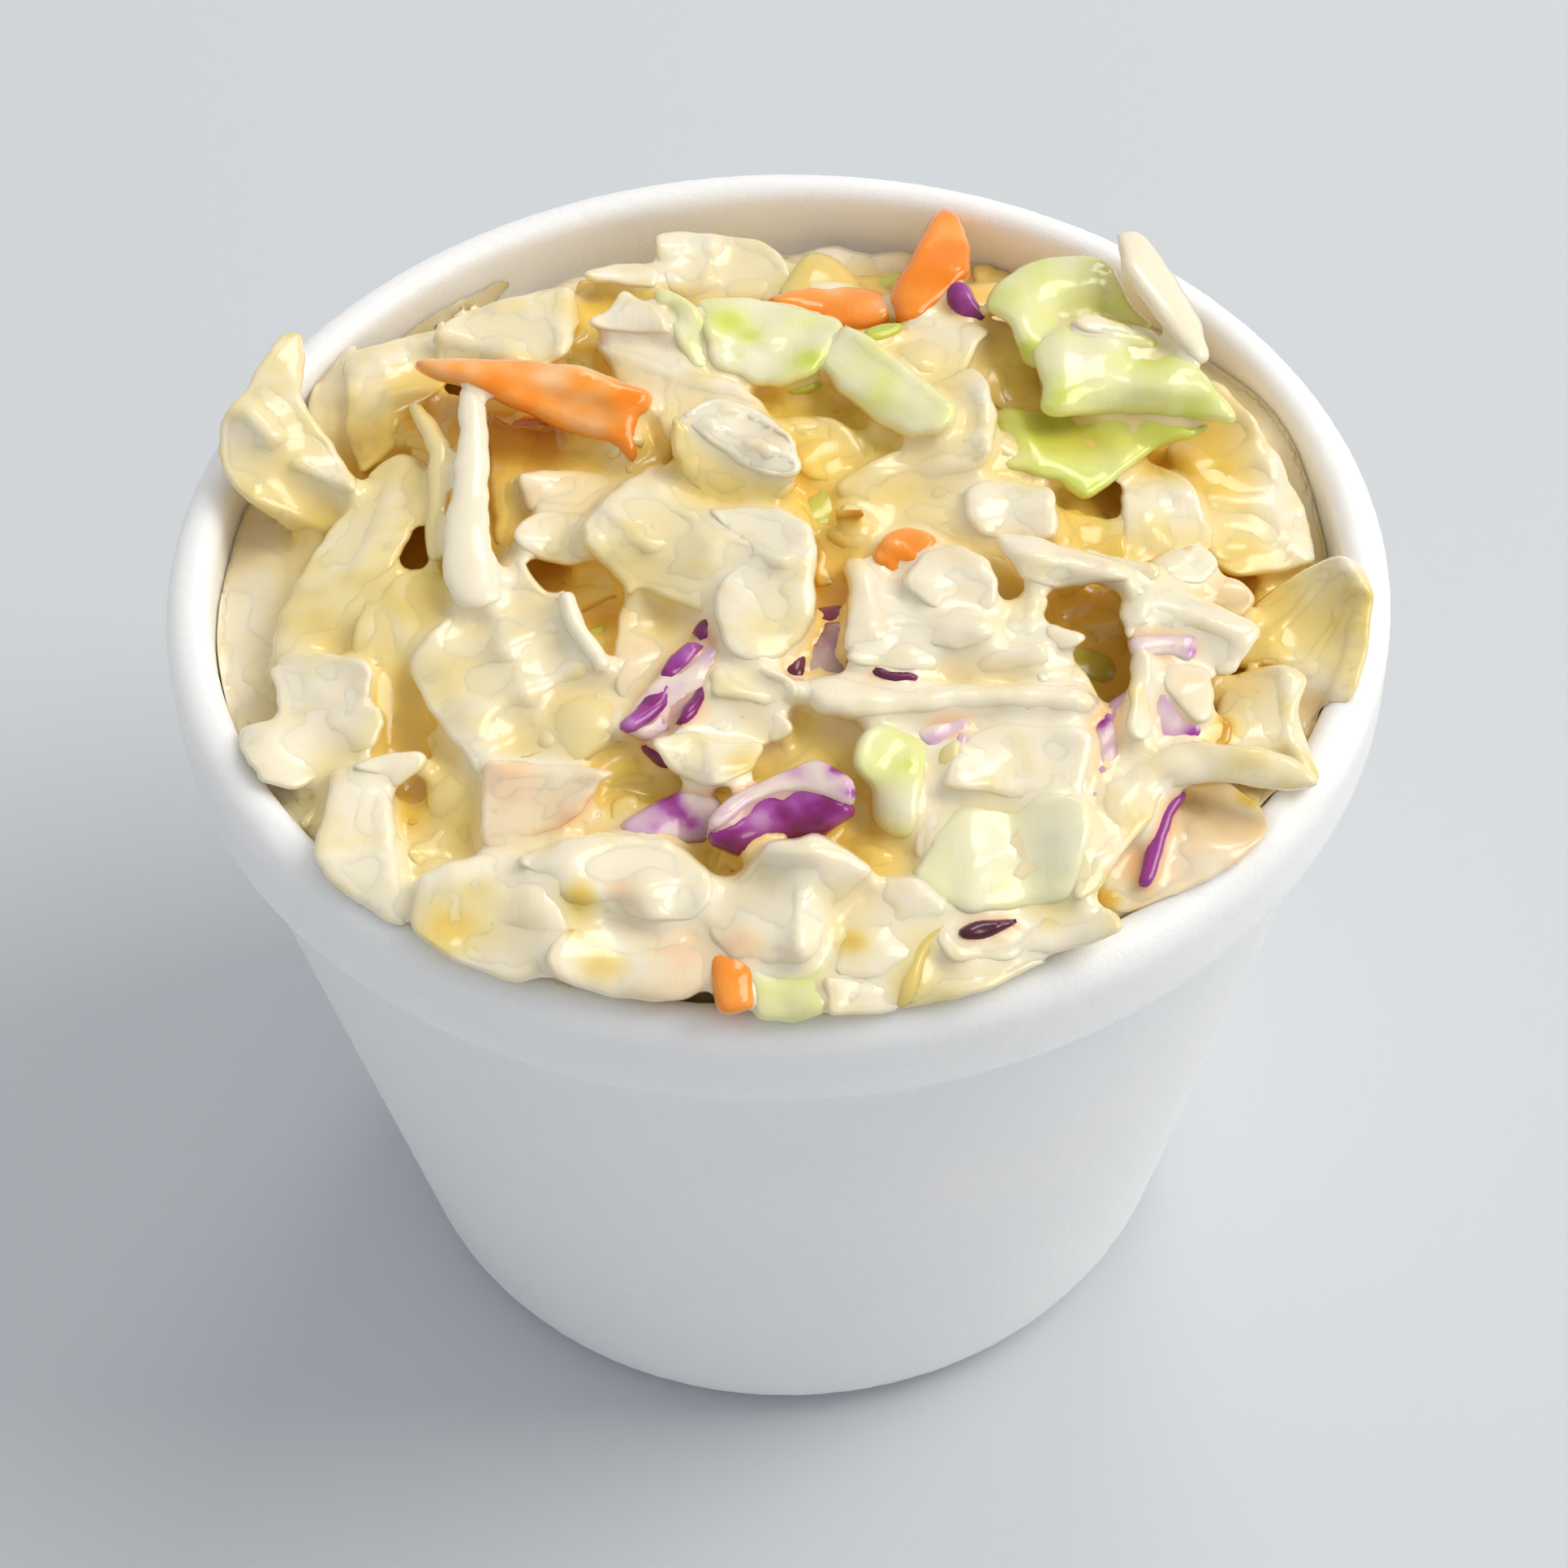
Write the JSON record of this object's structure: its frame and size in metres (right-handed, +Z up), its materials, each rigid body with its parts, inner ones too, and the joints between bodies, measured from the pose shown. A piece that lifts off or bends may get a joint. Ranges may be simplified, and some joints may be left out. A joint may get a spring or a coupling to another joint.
{
  "type": "coleslaw in a foam cup",
  "caption": "Round tapered white foam cup with a rounded lip and collar, heaped with creamy chopped coleslaw of cabbage and carrot.",
  "frame": {"origin": "centre of the cup's base, on the surface that it stands on", "axes": "+Z up along the cup's axis; the front, where the slaw is heaped over the lip, faces -Y; +X to the right"},
  "size_m": [0.089, 0.089, 0.0723],
  "materials": {
    "foam": "moulded white foam, faint bead cells",
    "slaw": "chopped cabbage in wet creamy dressing"
  },
  "bodies": {
    "root": {"cup": "foam", "slaw": "slaw"}
  },
  "joints": []
}
